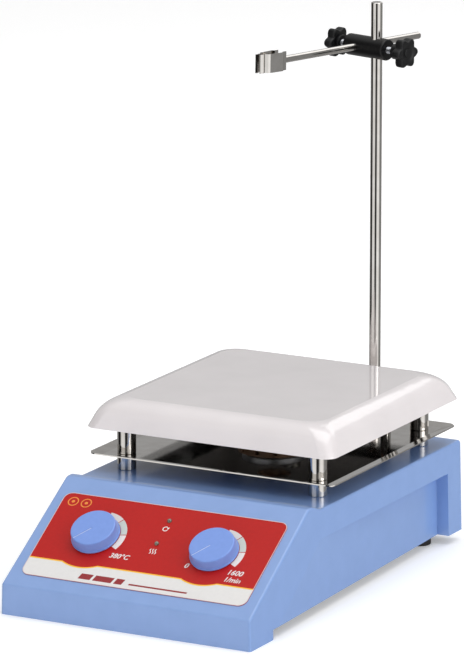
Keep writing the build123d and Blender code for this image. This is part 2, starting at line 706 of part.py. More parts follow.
# ---------- support rod and clamp ----------


def make_rod():
    rod = cyl(ROD_R, ROD_BOTTOM, ROD_TOP, ROD_X, ROD_Y)
    return fillet(rod.edges().group_by(Axis.Z)[-1], 0.8)


def make_locknut():
    nut = hexagon(14, BRACKET_Z1 + 0.1, BRACKET_Z1 + 6.1, ROD_X, ROD_Y)
    nut &= fillet(cyl(8.0, BRACKET_Z1 + 0.1, BRACKET_Z1 + 6.1, ROD_X, ROD_Y).edges().group_by(Axis.Z)[-1], 1.0)
    return nut - cyl(ROD_R, 0, 90, ROD_X, ROD_Y)


def clamp_frame(along):
    """Location on the bosshead's axis, its Z pointing along the axis."""
    a = radians(CLAMP_TURN)
    origin = (ROD_X + along * cos(a), ROD_Y + along * sin(a), CLAMP_Z)
    return Location(Plane(origin=origin, x_dir=(0, 0, 1), z_dir=(cos(a), sin(a), 0)))


def arm_frame(along):
    """Location on the arm's axis, its Z pointing to the arm's rear end and X up."""
    a, tilt = radians(CLAMP_TURN), radians(ARM_TILT)
    way = Vector(-sin(a) * cos(tilt), cos(a) * cos(tilt), -sin(tilt))
    up = Vector(-sin(a) * sin(tilt), cos(a) * sin(tilt), cos(tilt))
    crossing = Vector(ROD_X + ARM_OFFSET * cos(a), ROD_Y + ARM_OFFSET * sin(a), CLAMP_Z)
    return Location(Plane(origin=crossing + way * along, x_dir=up, z_dir=way))


def make_bosshead():
    length = CLAMP_RIGHT - CLAMP_LEFT
    body = clamp_frame((CLAMP_LEFT + CLAMP_RIGHT) / 2) * fillet(
        Cylinder(CLAMP_R, length).edges().filter_by(GeomType.CIRCLE), 1.2)
    body -= cyl(ROD_R + RUN, CLAMP_Z - 20, CLAMP_Z + 20, ROD_X, ROD_Y)
    body -= arm_frame(0) * Cylinder(ARM_R + RUN, 40)
    body -= clamp_frame(CLAMP_RIGHT) * Cylinder(SCREW_R + RUN, 2 * (CLAMP_RIGHT - ROD_R + 1))
    body -= clamp_frame(CLAMP_LEFT) * Cylinder(SCREW_R + RUN, 2 * (ARM_OFFSET - ARM_R - CLAMP_LEFT + 1))
    return body


def make_star(hub):
    """Star grip whose hub reaches `hub` below z = 0; two lobes stand either side of the top."""
    step = 360 / LOBES
    grip = extrude(Circle(STAR_R - 1.4), STAR_T)
    for k in range(LOBES):
        grip += Rot(0, 0, (k + 0.5) * step) * Pos(STAR_R - 2.9, 0, 0) * extrude(Circle(2.9), STAR_T)
    for k in range(LOBES):
        grip -= Rot(0, 0, k * step) * Pos(STAR_R + 1.0, 0, -1) * extrude(Circle(3.4), STAR_T + 2)
    return grip + Pos(0, 0, (1 - hub) / 2) * Cylinder(STAR_HUB_R, hub + 1)


def make_thumbscrew(tip, grip, hub, sign):
    """Screw from its tip to the star grip, which sits at `grip` along the bosshead's axis."""
    shank_end = grip + sign * 3.0
    screw = clamp_frame((tip + shank_end) / 2) * Cylinder(SCREW_R, abs(shank_end - tip))
    flip = 0 if sign > 0 else 180
    star = clamp_frame(grip) * Rot(0, flip, 0) * make_star(hub)
    star -= screw
    return screw, star


def make_arm():
    length = ARM_REAR - ARM_FRONT
    arm = arm_frame((ARM_REAR + ARM_FRONT) / 2) * Cylinder(ARM_R, length)
    return fillet(arm.edges().filter_by(GeomType.CIRCLE).sort_by(Axis.Y)[-1], 0.6)


def strip(points, thickness):
    """Face of constant thickness laid on one side of a bent centre line."""
    outer = []
    for i, (x, y) in enumerate(points):
        x0, y0 = points[max(i - 1, 0)]
        x1, y1 = points[min(i + 1, len(points) - 1)]
        length = hypot(x1 - x0, y1 - y0)
        outer.append((x - (y1 - y0) / length * thickness, y + (x1 - x0) / length * thickness))
    return make_face(Polyline(*points, *reversed(outer), close=True))


def clip_line():
    """Inner line of one clip strip, from its tail forward: box, neck, jaw lobe, lead-in."""
    tail = 4.0
    front = tail - 5.0 - CLIP_BOX_L
    neck = front - 2.4
    box = [(tail, CLIP_TAIL), (tail - 3.6, CLIP_TAIL), (tail - 4.4, CLIP_REAR - 0.5), (tail - 5.0, CLIP_REAR),
           (front, CLIP_FRONT), (front - 0.9, CLIP_FRONT - 0.6), (front - 1.6, CLIP_NECK + 1.3),
           (neck, CLIP_NECK)]
    steps = 6
    lobe = [(neck - k * LOBE_L / steps, CLIP_NECK + LOBE_DEPTH * (1 - cos(2 * pi * k / steps)))
            for k in range(1, steps + 1)]
    end = neck - LOBE_L
    return box + lobe + [(end - 0.7, CLIP_NECK + 0.3), (end - 1.3, CLIP_NECK + 1.0)]


def make_clip_jaw(side):
    """Bent spring strip; its line is drawn as (along the arm, across it)."""
    jaw = extrude(strip(clip_line(), -CLIP_T), CLIP_H / 2, both=True)
    if side < 0:
        jaw = mirror(jaw, about=Plane.XZ)
    return arm_frame(ARM_FRONT) * Rot(0, -90, 0) * jaw


def make_clip_collar():
    """Sleeve on the arm's front end that carries both strips."""
    return arm_frame(ARM_FRONT + 2.0) * (Cylinder(CLIP_TAIL, 5.0) - Cylinder(ARM_R + RUN, 8.0))


# ---------- export ----------


def export(name, shape):
    solids = shape if isinstance(shape, list) else [shape]
    placed = [Pos(0, FRONT_Y, 0) * solid for solid in solids]
    result = placed[0] if len(placed) == 1 else Compound(children=placed)
    export_step(result, f"parts/{name}.step")


def main():
    os.makedirs("parts", exist_ok=True)
    export("housing", make_housing())
    export("base_plate", make_base_plate())
    export("rubber_feet", make_feet())
    export("foot_screws", make_foot_screws())

    export("control_label", make_label())
    export("heat_indicator", make_led(LED_HEAT_S))
    export("stir_indicator", make_led(LED_STIR_S))
    for name, x in (("heat", HEAT_X), ("stir", STIR_X)):
        export(f"{name}_potentiometer", make_potentiometer(x))
        export(f"{name}_knob_shaft", make_knob_shaft(x))
        export(f"{name}_knob", make_knob(x))

    export("pot_nuts", [make_pot_nut(x) for x in (HEAT_X, STIR_X)])

    export("heating_plate", make_plate())
    export("heater_element", make_heater_element())
    export("heater_insulation", make_insulation())
    export("heater_cover", make_heater_cover())
    export("heater_cover_screws", make_cover_screws())
    export("temperature_sensor", make_temperature_sensor())
    export("plate_studs", make_studs())
    export("stud_nuts", make_stud_nuts())
    export("upper_posts", [make_upper_post(x, y) for x, y in posts()])
    export("lower_posts", [make_lower_post(x, y) for x, y in posts()])
    export("drip_tray", make_tray())
    export("wire_conduit", make_conduit())
    export("insulating_ring", make_insulating_ring())

    export("stir_motor", make_motor())
    export("motor_bracket", make_motor_bracket())
    export("motor_screws", make_motor_screws())
    export("drive_shaft", make_drive_shaft())
    export("magnet_carrier", make_magnet_carrier())
    export("drive_magnets", make_magnets())

    export("circuit_board", make_board())
    export("board_standoffs", make_standoffs())
    export("board_screws", make_board_screws())
    export("transformer", make_transformer())
    export("heat_sink", make_heat_sink())
    export("triac", make_triac())
    export("capacitors", make_capacitors())
    export("terminal_blocks", make_terminal_blocks())
    export("heater_leads", make_heater_leads())
    export("mains_wires", make_mains_wires())

    export("power_inlet", make_inlet())
    export("inlet_pins", make_inlet_pins())
    export("inlet_screws", make_inlet_screws())
    export("rod_bracket", make_rod_bracket())
    export("bracket_screws", make_bracket_screws())

    export("support_rod", make_rod())
    export("rod_locknut", make_locknut())
    export("bosshead", make_bosshead())
    screw, star = make_thumbscrew(ROD_R + GAP, ROD_GRIP, ROD_HUB, 1)
    export("rod_screw", screw)
    export("rod_star_knob", star)
    screw, star = make_thumbscrew(ARM_OFFSET - ARM_R - GAP, ARM_GRIP, ARM_HUB, -1)
    export("arm_screw", screw)
    export("arm_star_knob", star)
    export("clip_arm", make_arm())
    export("clip_collar", make_clip_collar())
    export("clip_jaw_left", make_clip_jaw(1))
    export("clip_jaw_right", make_clip_jaw(-1))


main()
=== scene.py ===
import json
from math import atan2, ceil, cos, floor, pi, radians, sin, sqrt

import bmesh
import bpy
from mathutils import Matrix, Vector


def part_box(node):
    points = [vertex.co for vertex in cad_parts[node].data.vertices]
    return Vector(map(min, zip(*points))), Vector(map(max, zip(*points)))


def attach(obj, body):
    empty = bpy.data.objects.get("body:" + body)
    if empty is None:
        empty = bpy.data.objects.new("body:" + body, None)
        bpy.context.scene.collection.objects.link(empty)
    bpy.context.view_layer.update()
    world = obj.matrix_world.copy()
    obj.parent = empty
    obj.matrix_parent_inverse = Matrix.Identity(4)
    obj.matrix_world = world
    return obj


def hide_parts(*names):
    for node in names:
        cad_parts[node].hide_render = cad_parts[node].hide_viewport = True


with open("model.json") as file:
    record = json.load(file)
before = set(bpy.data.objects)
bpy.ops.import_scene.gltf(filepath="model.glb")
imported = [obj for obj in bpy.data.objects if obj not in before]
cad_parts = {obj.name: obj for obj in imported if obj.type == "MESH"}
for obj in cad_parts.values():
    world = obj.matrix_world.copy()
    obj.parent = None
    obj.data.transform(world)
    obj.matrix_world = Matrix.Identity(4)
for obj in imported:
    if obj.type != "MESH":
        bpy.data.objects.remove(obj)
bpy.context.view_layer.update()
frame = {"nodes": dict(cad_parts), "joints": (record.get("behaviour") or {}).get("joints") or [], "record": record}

MM = 0.001

# ---------- camera, as the object is seen from the front and a little from the right ----------
VIEW_TURN = radians(28.3)         # camera's turn from straight ahead, towards +X
VIEW_RISE = radians(13.55)
VIEW_DISTANCE = 4.0
VIEW_TARGET = Vector((0.0, -0.0445, 0.176))
LENS_MM = 326.1

# ---------- shared finish values ----------
INK_T = 0.05 * MM                 # thickness of a printed mark
POINTER_TURN = radians(230)       # both knobs point to the start of their scales


def srgb(red, green, blue):
    """Linear colour from 8-bit display values."""
    def linear(value):
        value /= 255
        return value / 12.92 if value <= 0.04045 else ((value + 0.055) / 1.055) ** 2.4
    return (linear(red), linear(green), linear(blue), 1.0)


# ---------- material nodes ----------


def add(tree, kind, inputs=None, **attributes):
    """Adds a node, sets its attributes, then its inputs: a plain value, or a socket to link from."""
    node = tree.nodes.new(kind)
    for key, value in attributes.items():
        setattr(node, key, value)
    for key, value in (inputs or {}).items():
        if isinstance(value, bpy.types.NodeSocket):
            tree.links.new(value, node.inputs[key])
        else:
            node.inputs[key].default_value = value
    return node


def principled(name, **sockets):
    """New material; a keyword such as Coat_Weight sets the shader's socket of that name."""
    material = bpy.data.materials.new(name)
    material.use_nodes = True
    shader = material.node_tree.nodes["Principled BSDF"]
    for key, value in sockets.items():
        shader.inputs[key.replace("_", " ")].default_value = value
    return material, material.node_tree, shader


def object_point(tree, stretch=(1, 1, 1)):
    place = add(tree, "ShaderNodeTexCoord").outputs["Object"]
    return add(tree, "ShaderNodeMapping", {"Vector": place, "Scale": stretch}).outputs["Vector"]


def noise(tree, size, stretch=(1, 1, 1), detail=2.0):
    """Noise whose features are `size` metres across, stretched where a factor is small."""
    vector = object_point(tree, stretch)
    inputs = {"Vector": vector, "Scale": 1 / size, "Detail": detail}
    return add(tree, "ShaderNodeTexNoise", inputs).outputs["Fac"]


def remap(tree, value, low, high, source=(0.3, 0.7)):
    inputs = {"Value": value, "From Min": source[0], "From Max": source[1], "To Min": low, "To Max": high}
    return add(tree, "ShaderNodeMapRange", inputs).outputs["Result"]


def mixed(tree, factor, first, second):
    node = add(tree, "ShaderNodeMix", data_type="RGBA")
    tree.links.new(factor, node.inputs[0])
    for index, value in ((6, first), (7, second)):
        if isinstance(value, bpy.types.NodeSocket):
            tree.links.new(value, node.inputs[index])
        else:
            node.inputs[index].default_value = value
    return node.outputs[2]


def bump(tree, shader, height, depth, strength=1.0):
    inputs = {"Height": height, "Distance": depth, "Strength": strength}
    node = add(tree, "ShaderNodeBump", inputs)
    tree.links.new(node.outputs["Normal"], shader.inputs["Normal"])


def textured(name, light, dark, size, roughness, depth, stretch=(1, 1, 1), detail=3.0, **sockets):
    """Finish that drifts between two colours and two roughnesses, with fine relief."""
    material, tree, shader = principled(name, **sockets)
    drift = noise(tree, size * 6, stretch, detail)
    grain = noise(tree, size, stretch, detail)
    tree.links.new(mixed(tree, remap(tree, drift, 0, 1), light, dark), shader.inputs["Base Color"])
    tree.links.new(remap(tree, grain, roughness[0], roughness[1]), shader.inputs["Roughness"])
    bump(tree, shader, grain, depth)
    return material


# ---------- finishes, one per material slot ----------


def housing_paint():
    """Smooth semi-gloss enamel with a slight orange peel and a clear top."""
    return textured("housing_paint", srgb(133, 165, 220), srgb(129, 161, 216), 2.2 * MM, (0.30, 0.36),
                    0.010 * MM, Coat_Weight=0.75, Coat_Roughness=0.09, Coat_IOR=1.5)


def knob_blue():
    return textured("knob_blue", srgb(123, 157, 230), srgb(119, 153, 226), 0.5 * MM, (0.34, 0.44),
                    0.008 * MM, Coat_Weight=0.2, Coat_Roughness=0.25)


def control_label():
    """Printed film: satin red with a fine screen-print grain."""
    return textured("control_label", srgb(190, 14, 6), srgb(184, 12, 5), 0.35 * MM, (0.42, 0.5),
                    0.004 * MM, Specular_IOR_Level=0.3)


PLATE_RIM = 9.5 * MM              # width of the glazed rim round the plate's hollow
PLATE_HOLLOW_H = 12 * MM
DOWNWARD = -0.7                   # a face whose normal points lower than this counts as underside


def plate_underside(tree):
    """1 on the plate's lower face and in its hollow, where its painted shade goes; 0 on the glazed outside."""
    low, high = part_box("heating_plate")
    centre = (low + high) / 2
    coordinates = add(tree, "ShaderNodeTexCoord").outputs
    place = add(tree, "ShaderNodeSeparateXYZ", {"Vector": coordinates["Object"]}).outputs
    facing = add(tree, "ShaderNodeSeparateXYZ", {"Vector": coordinates["Normal"]}).outputs["Z"]

    def calc(operation, first, second=0.0):
        return add(tree, "ShaderNodeMath", {0: first, 1: second}, operation=operation).outputs["Value"]

    from_x = calc("ABSOLUTE", calc("SUBTRACT", place["X"], centre.x))
    from_y = calc("ABSOLUTE", calc("SUBTRACT", place["Y"], centre.y))
    within = calc("MULTIPLY", calc("LESS_THAN", from_x, high.x - centre.x - PLATE_RIM),
                  calc("LESS_THAN", from_y, high.y - centre.y - PLATE_RIM))
    below_top = calc("LESS_THAN", place["Z"], low.z + PLATE_HOLLOW_H)
    hollow = calc("MULTIPLY", within, below_top)
    return calc("MAXIMUM", hollow, calc("LESS_THAN", facing, DOWNWARD))


def glazed_plate():
    """White glaze: glossy, a little wavy, with faint specks; unglazed underneath, painted dark brown there as
    shade.
    """
    material, tree, shader = principled("glazed_plate", Coat_Weight=1.0, Coat_Roughness=0.03, Coat_IOR=1.55)
    specks = noise(tree, 0.7 * MM, detail=1.0)
    cloud = noise(tree, 40 * MM)
    body = mixed(tree, remap(tree, cloud, 0, 1), srgb(232, 226, 227), srgb(227, 221, 222))
    spot = remap(tree, specks, 0, 0.35, (0.74, 0.8))
    glaze = mixed(tree, spot, body, srgb(196, 190, 184))
    # painted shade: dark brown on the plate's downward faces and in its hollow
    underside_painted_shade = mixed(tree, remap(tree, cloud, 0, 1), srgb(44, 38, 34), srgb(30, 26, 24))
    tree.links.new(mixed(tree, plate_underside(tree), glaze, underside_painted_shade), shader.inputs["Base Color"])
    shader.inputs["Roughness"].default_value = 0.22
    ripple = noise(tree, 28 * MM, detail=1.0)
    bump(tree, shader, ripple, 0.16 * MM)
    return material


def stainless(name, stretch):
    """Polished stainless steel with faint drawing lines along the short factor of `stretch`."""
    material, tree, shader = principled(name, Metallic=1.0)
    lines = noise(tree, 0.25 * MM, stretch, 2.0)
    haze = noise(tree, 9 * MM)
    tone = mixed(tree, remap(tree, haze, 0, 1), srgb(214, 211, 207), srgb(203, 199, 194))
    tree.links.new(tone, shader.inputs["Base Color"])
    tree.links.new(remap(tree, lines, 0.04, 0.11), shader.inputs["Roughness"])
    bump(tree, shader, lines, 0.0012 * MM)
    return material


def polished_stainless():
    return stainless("polished_stainless", (1, 1, 0.02))


def zinc_steel():
    return textured("zinc_steel", srgb(190, 192, 196), srgb(170, 173, 180), 0.6 * MM, (0.24, 0.42),
                    0.006 * MM, Metallic=1.0)


def black_metal():
    """Black satin coat with a fine texture, as on a cast bosshead."""
    return textured("black_metal", srgb(9, 8, 9), srgb(6, 5, 6), 0.5 * MM, (0.26, 0.4),
                    0.02 * MM, Specular_IOR_Level=0.4)


def black_plastic():
    return textured("black_plastic", srgb(9, 9, 11), srgb(6, 6, 7), 0.4 * MM, (0.34, 0.48), 0.02 * MM,
                    Specular_IOR_Level=0.4)


def bracket_alloy():
    """Cast aluminium, tumbled: grainy with a soft shine."""
    return textured("bracket_alloy", srgb(196, 198, 202), srgb(168, 171, 176), 0.9 * MM, (0.34, 0.52),
                    0.05 * MM, Metallic=1.0)


def foot_rubber():
    return textured("foot_rubber", srgb(26, 25, 25), srgb(15, 15, 15), 0.5 * MM, (0.6, 0.8), 0.03 * MM)


def indicator_lens():
    return textured("indicator_lens", srgb(150, 156, 138), srgb(118, 112, 98), 0.6 * MM, (0.12, 0.2),
                    0.01 * MM, Transmission_Weight=0.25, Coat_Weight=1.0, Coat_Roughness=0.05)


def brown_phenolic():
    """Pressed phenolic board with short fibres in it."""
    return textured("brown_phenolic", srgb(166, 128, 98), srgb(122, 90, 68), 0.8 * MM, (0.4, 0.6),
                    0.03 * MM, stretch=(1, 0.25, 1), detail=5.0)


def motor_steel():
    return textured("motor_steel", srgb(150, 152, 158), srgb(128, 131, 138), 0.3 * MM, (0.26, 0.4),
                    0.006 * MM, stretch=(1, 1, 0.05), Metallic=1.0)


def brass():
    return textured("brass", srgb(214, 176, 104), srgb(192, 152, 82), 0.4 * MM, (0.2, 0.34),
                    0.006 * MM, Metallic=1.0)


def magnet_nickel():
    return textured("magnet_nickel", srgb(204, 202, 196), srgb(186, 184, 178), 0.5 * MM, (0.14, 0.24),
                    0.003 * MM, Metallic=1.0)


def board_green():
    """Solder mask over copper tracks that run in straight cells."""
    material, tree, shader = principled("board_green", Coat_Weight=0.6, Coat_Roughness=0.12)
    inputs = {"Vector": object_point(tree), "Scale": 1 / (5 * MM)}
    cells = add(tree, "ShaderNodeTexVoronoi", inputs, distance="MANHATTAN").outputs["Distance"]
    track = remap(tree, cells, 1, 0, (0.30, 0.34))
    tree.links.new(mixed(tree, track, srgb(22, 92, 48), srgb(46, 128, 72)), shader.inputs["Base Color"])
    shader.inputs["Roughness"].default_value = 0.35
    bump(tree, shader, track, 0.03 * MM)
    return material


def component_dark():
    return textured("component_dark", srgb(62, 58, 58), srgb(44, 41, 42), 0.5 * MM, (0.35, 0.55), 0.02 * MM,
                    stretch=(1, 1, 0.3))


def wire_sleeve():
    """Braided glass sleeve: two crossing sets of ribs."""
    material, tree, shader = principled("wire_sleeve", Roughness=0.75)
    ribs = []
    for stretch in ((1, 1, 1), (1, -1, 1)):
        inputs = {"Vector": object_point(tree, stretch), "Scale": 1 / (2.2 * MM)}
        ribs.append(add(tree, "ShaderNodeTexWave", inputs, bands_direction="DIAGONAL").outputs["Fac"])
    braid = add(tree, "ShaderNodeMath", {0: ribs[0], 1: ribs[1]}, operation="MULTIPLY").outputs["Value"]
    tree.links.new(mixed(tree, braid, srgb(180, 176, 164), srgb(214, 210, 198)), shader.inputs["Base Color"])
    bump(tree, shader, braid, 0.15 * MM)
    return material


SLOT_FINISH = {make.__name__: make() for make in (
    housing_paint, knob_blue, control_label, glazed_plate, polished_stainless, zinc_steel, black_metal,
    black_plastic, bracket_alloy, foot_rubber, indicator_lens, brown_phenolic, motor_steel, brass,
    magnet_nickel, board_green, component_dark, wire_sleeve)}


def ink(name, colour, roughness=(0.38, 0.46)):
    red, green, blue, _ = colour
    worn = (red * 0.97, green * 0.97, blue * 0.97, 1.0)
    return textured(name, colour, worn, 0.4 * MM, roughness, 0.003 * MM)


def tray_steel():
    """Rolled sheet: the drawing lines run across the tray."""
    return stainless("tray_steel", (0.02, 1, 1))


def laminated_core():
    """Stacked iron sheets with a varnish."""
    material, tree, shader = principled("laminated_core", Metallic=0.6, Roughness=0.45)
    inputs = {"Vector": object_point(tree), "Scale": 1 / (3.2 * MM)}
    sheets = add(tree, "ShaderNodeTexWave", inputs, bands_direction="Y").outputs["Fac"]
    tree.links.new(mixed(tree, sheets, srgb(54, 50, 48), srgb(96, 90, 86)), shader.inputs["Base Color"])
    bump(tree, shader, sheets, 0.05 * MM)
    return material


def heat_stained_cover():
    """Steel sheet under the heater, browned and dulled by heat."""
    return textured("heat_stained_cover", srgb(74, 64, 58), srgb(50, 44, 42), 1.2 * MM, (0.45, 0.62),
                    0.01 * MM, Metallic=0.7)


NODE_FINISH = {"drip_tray": tray_steel(), "transformer": laminated_core(),
               "heater_cover": heat_stained_cover()}


def paint_nodes():
    """Each CAD node gets its slot's finish, or its own where it has one."""
    for part in frame["record"]["subparts"]:
        material = NODE_FINISH.get(part["node"], SLOT_FINISH[part["material_slot"]])
        materials = frame["nodes"][part["node"]].data.materials
        materials.clear()
        materials.append(material)


# ---------- mesh helpers ----------


def link_mesh(name, mesh, material, body, smooth_angle=None):
    """Puts a finished mesh in the scene, riding on a body."""
    mesh.materials.append(material)
    if smooth_angle is not None:
        for polygon in mesh.polygons:
            polygon.use_smooth = True
        mesh.set_sharp_from_angle(angle=radians(smooth_angle))
    piece = bpy.data.objects.new(name, mesh)
    bpy.context.scene.collection.objects.link(piece)
    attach(piece, body)
    return piece


def mesh_from(name, points, faces):
    mesh = bpy.data.meshes.new(name)
    mesh.from_pydata([tuple(point) for point in points], [], faces)
    shape = bmesh.new()
    shape.from_mesh(mesh)
    bmesh.ops.recalc_face_normals(shape, faces=shape.faces)
    shape.to_mesh(mesh)
    shape.free()
    return mesh


def prisms(name, outlines, place, thickness):
    """Flat plates of one thickness on the plane of `place`, one per outline of (x, y) points."""
    points, faces = [], []
    for outline in outlines:
        start, count = len(points), len(outline)
        for height in (0.0, thickness):
            points += [place @ Vector((x, y, height)) for x, y in outline]
        faces.append([start + k for k in range(count)])
        faces.append([start + count + k for k in range(count)])
        for k in range(count):
            after = (k + 1) % count
            faces.append([start + k, start + after, start + count + after, start + count + k])
    return mesh_from(name, points, faces)


def arc(centre, radius, start, end, steps):
    """Points on an arc, its angles in degrees."""
    turns = [radians(start + (end - start) * k / steps) for k in range(steps + 1)]
    return [(centre[0] + radius * cos(turn), centre[1] + radius * sin(turn)) for turn in turns]


def band(centre, inner, outer, start, end, steps):
    return arc(centre, outer, start, end, steps) + arc(centre, inner, end, start, steps)


def closed_band(centre, inner, outer, steps):
    """A ring as two half bands that meet."""
    half = steps // 2
    return [band(centre, inner, outer, 0, 180, half), band(centre, inner, outer, 180, 360, half)]


# ---------- control face ----------
JOINTS = {joint["name"]: joint for joint in frame["joints"]}
HEAT_AT = Vector(JOINTS["heat_dial_turn"]["pos_m"])
STIR_AT = Vector(JOINTS["stir_dial_turn"]["pos_m"])
FACE_OUT = -Vector(JOINTS["heat_dial_turn"]["axis"]).normalized()
FACE_RIGHT = (STIR_AT - HEAT_AT).normalized()
FACE_UP = FACE_OUT.cross(FACE_RIGHT)
FACE_ORIGIN = HEAT_AT - FACE_RIGHT * HEAT_AT.dot(FACE_RIGHT)
DIAL_X = {"heat": (HEAT_AT - FACE_ORIGIN).dot(FACE_RIGHT) / MM,
          "stir": (STIR_AT - FACE_ORIGIN).dot(FACE_RIGHT) / MM}


def reach(node, direction, origin=FACE_ORIGIN):
    """How far a CAD node reaches along a direction, lowest and highest, in millimetres."""
    along = [(vertex.co - origin).dot(direction) / MM for vertex in frame["nodes"][node].data.vertices]
    return min(along), max(along)


LABEL_RIGHT = reach("control_label", FACE_RIGHT)[1]
LABEL_LOW, LABEL_HIGH = reach("control_label", FACE_UP)
LABEL_OUT = reach("control_label", FACE_OUT)[1]
LABEL_CORNER = 6.0
LED_LOW = sum(reach("heat_indicator", FACE_UP)) / 2
LED_HIGH = sum(reach("stir_indicator", FACE_UP)) / 2
LINE_LEVEL = -26.8                # lower colour line, up the face from the dials' centres
LINE_T = 1.0
DIP_R = 30.0                      # the line passes below each dial on this radius
BORDER_W = 0.45                   # pale edge round the label


def face_place(height=None):
    """Face millimetres to scene metres, at the label's surface unless a height is given."""
    out = LABEL_OUT if height is None else height
    turn = Matrix((FACE_RIGHT, FACE_UP, FACE_OUT)).transposed().to_4x4()
    return Matrix.Translation(FACE_ORIGIN + FACE_OUT * out * MM) @ turn @ Matrix.Diagonal((MM, MM, 1, 1))


def print_marks(name, outlines, material, layer=0):
    """Printed marks on the label, each layer a film's thickness above the last."""
    mesh = prisms(name, outlines, face_place(LABEL_OUT + layer * INK_T / MM), INK_T)
    return link_mesh(name, mesh, material, "base")


def line_level(x):
    """Height of the colour line: level, but bowed down below each dial."""
    lowest = LINE_LEVEL
    for dial in DIAL_X.values():
        if abs(x - dial) < DIP_R:
            lowest = min(lowest, -sqrt(DIP_R ** 2 - (x - dial) ** 2))
    return lowest


def line_stations():
    half_dip = sqrt(DIP_R ** 2 - LINE_LEVEL ** 2)
    stations = [-LABEL_RIGHT]
    for dial in DIAL_X.values():
        stations += [dial + half_dip * (k / 8 - 1) for k in range(17)]
    return stations + [LABEL_RIGHT]


def label_ground():
    """White strip along the label's foot, and the colour line above it."""
    stations = line_stations()
    upper = [(x, line_level(x)) for x in stations]
    right = arc((LABEL_RIGHT - LABEL_CORNER, LABEL_LOW + LABEL_CORNER), LABEL_CORNER, 0, -90, 8)
    left = arc((-LABEL_RIGHT + LABEL_CORNER, LABEL_LOW + LABEL_CORNER), LABEL_CORNER, -90, -180, 8)
    print_marks("label_strip", [upper + right + left], ink("ink_white", srgb(232, 230, 228)))
    lower = [(x, level) for x, level in reversed(upper)]
    raised = [(x, level + LINE_T) for x, level in upper]
    print_marks("label_line", [raised + lower], ink("ink_yellow", srgb(255, 196, 44)), layer=1)


def label_border():
    """Thin pale edge all round the label."""
    corners = ((LABEL_RIGHT, LABEL_HIGH, 0), (-LABEL_RIGHT, LABEL_HIGH, 90),
               (-LABEL_RIGHT, LABEL_LOW, 180), (LABEL_RIGHT, LABEL_LOW, 270))
    rims = []
    for radius in (LABEL_CORNER, LABEL_CORNER - BORDER_W):
        outline = []
        for x, y, start in corners:
            centre = (x - LABEL_CORNER * (1 if x > 0 else -1), y - LABEL_CORNER * (1 if y > 0 else -1))
            outline += arc(centre, radius, start, start + 90, 8)
        rims.append(outline)
    outer, inner = rims
    count = len(outer)
    pieces = [[outer[k], outer[(k + 1) % count], inner[(k + 1) % count], inner[k]] for k in range(count)]
    print_marks("label_border", pieces, ink("ink_edge", srgb(226, 206, 206)), layer=2)


SCALE_IN, SCALE_OUT = 17.2, 21.6
SCALE_ENDS = (86, 52, 11, -27)    # ends of the three scale segments, in degrees
SCALE_GAP = 0.9                   # half the gap between segments, in degrees
SCALE_SHADES = (srgb(226, 220, 214), srgb(206, 212, 203), srgb(236, 226, 222))


def dial_scale(name, x):
    """Three shaded segments round the right of a dial, with a thin gap between them."""
    segments = zip(SCALE_SHADES, SCALE_ENDS, SCALE_ENDS[1:])
    for index, (shade, start, end) in enumerate(segments, 1):
        outline = band((x, 0), SCALE_IN, SCALE_OUT, start - SCALE_GAP, end + SCALE_GAP, 12)
        print_marks(f"{name}_scale_{index}", [outline], ink(f"ink_{name}_{index}", shade))


FIGURE_RISE = 0.72                # height of a figure as a share of its font size
FIGURE_SLANT = 0.22
FIGURE_WEIGHT = 0.14              # outline growth, for a bolder stroke
FIGURE_SQUEEZE = 0.95
# name, text, lower left corner on the face, height
DIAL_TEXTS = (
    ("heat_scale_end", "380°C", -28.8, -17.0, 4.2),
    ("stir_scale_start", "0", 27.8, -16.4, 4.3),
    ("stir_scale_end", "1600", 60.0, -16.8, 4.4),
    ("stir_scale_unit", "1/min", 60.2, -23.0, 4.2),
)


def dial_text(name, text, x, y, height, material):
    """Slanted figures on the label, their lower left corner at (x, y)."""
    curve = bpy.data.curves.new(name, "FONT")
    curve.body = text
    curve.size = height / FIGURE_RISE
    curve.shear = FIGURE_SLANT
    curve.offset = FIGURE_WEIGHT
    curve.resolution_u = 3
    holder = bpy.data.objects.new(name, curve)
    flat = bpy.data.meshes.new_from_object(holder)
    bpy.data.objects.remove(holder)
    shape = bmesh.new()
    shape.from_mesh(flat)
    bmesh.ops.remove_doubles(shape, verts=shape.verts, dist=0.01)
    grown = bmesh.ops.extrude_face_region(shape, geom=shape.faces[:])["geom"]
    lift = [item for item in grown if isinstance(item, bmesh.types.BMVert)]
    bmesh.ops.translate(shape, verts=lift, vec=(0, 0, INK_T))
    bmesh.ops.scale(shape, verts=shape.verts, vec=(FIGURE_SQUEEZE, 1, 1))
    bmesh.ops.recalc_face_normals(shape, faces=shape.faces)
    shape.to_mesh(flat)
    shape.free()
    flat.transform(face_place() @ Matrix.Translation((x, y, 0)))
    flat.materials.clear()
    return link_mesh(name, flat, material, "base")


def stir_symbol(centre):
    """A round arrow."""
    x, y = centre
    ring = band(centre, 1.45, 2.15, 60, 350, 16)
    head = [(x + 0.65, y + 1.35), (x + 2.75, y + 1.5), (x + 1.85, y - 0.35)]
    return [ring, head]


def heat_symbol(centre):
    """Three rising waves, each drawn up one side and down the other."""
    spacing, half_width, swing, height, steps = 1.9, 0.33, 0.55, 4.4, 12
    upward = range(steps + 1)
    shapes = []
    for offset in (-spacing, 0, spacing):
        wave = []
        for side, order in ((-half_width, upward), (half_width, reversed(upward))):
            for k in order:
                x = centre[0] + offset + side + swing * sin(2 * pi * k / steps)
                wave.append((x, centre[1] + height * (k / steps - 0.5)))
        shapes.append(wave)
    return shapes


def maker_mark():
    """Generic printed mark: three slanted blocks and a thin rule."""
    low, high = LABEL_LOW + 2.9, LABEL_LOW + 7.7
    slant = 1.3
    shapes = [[(x, low), (x + width, low), (x + width + slant, high), (x + slant, high)]
              for x, width in ((-42, 9), (-31, 14), (-15, 6))]
    shapes.append([(-4, low + 0.6), (40, low + 0.6), (40.4, low + 1.9), (-3.6, low + 1.9)])
    return shapes


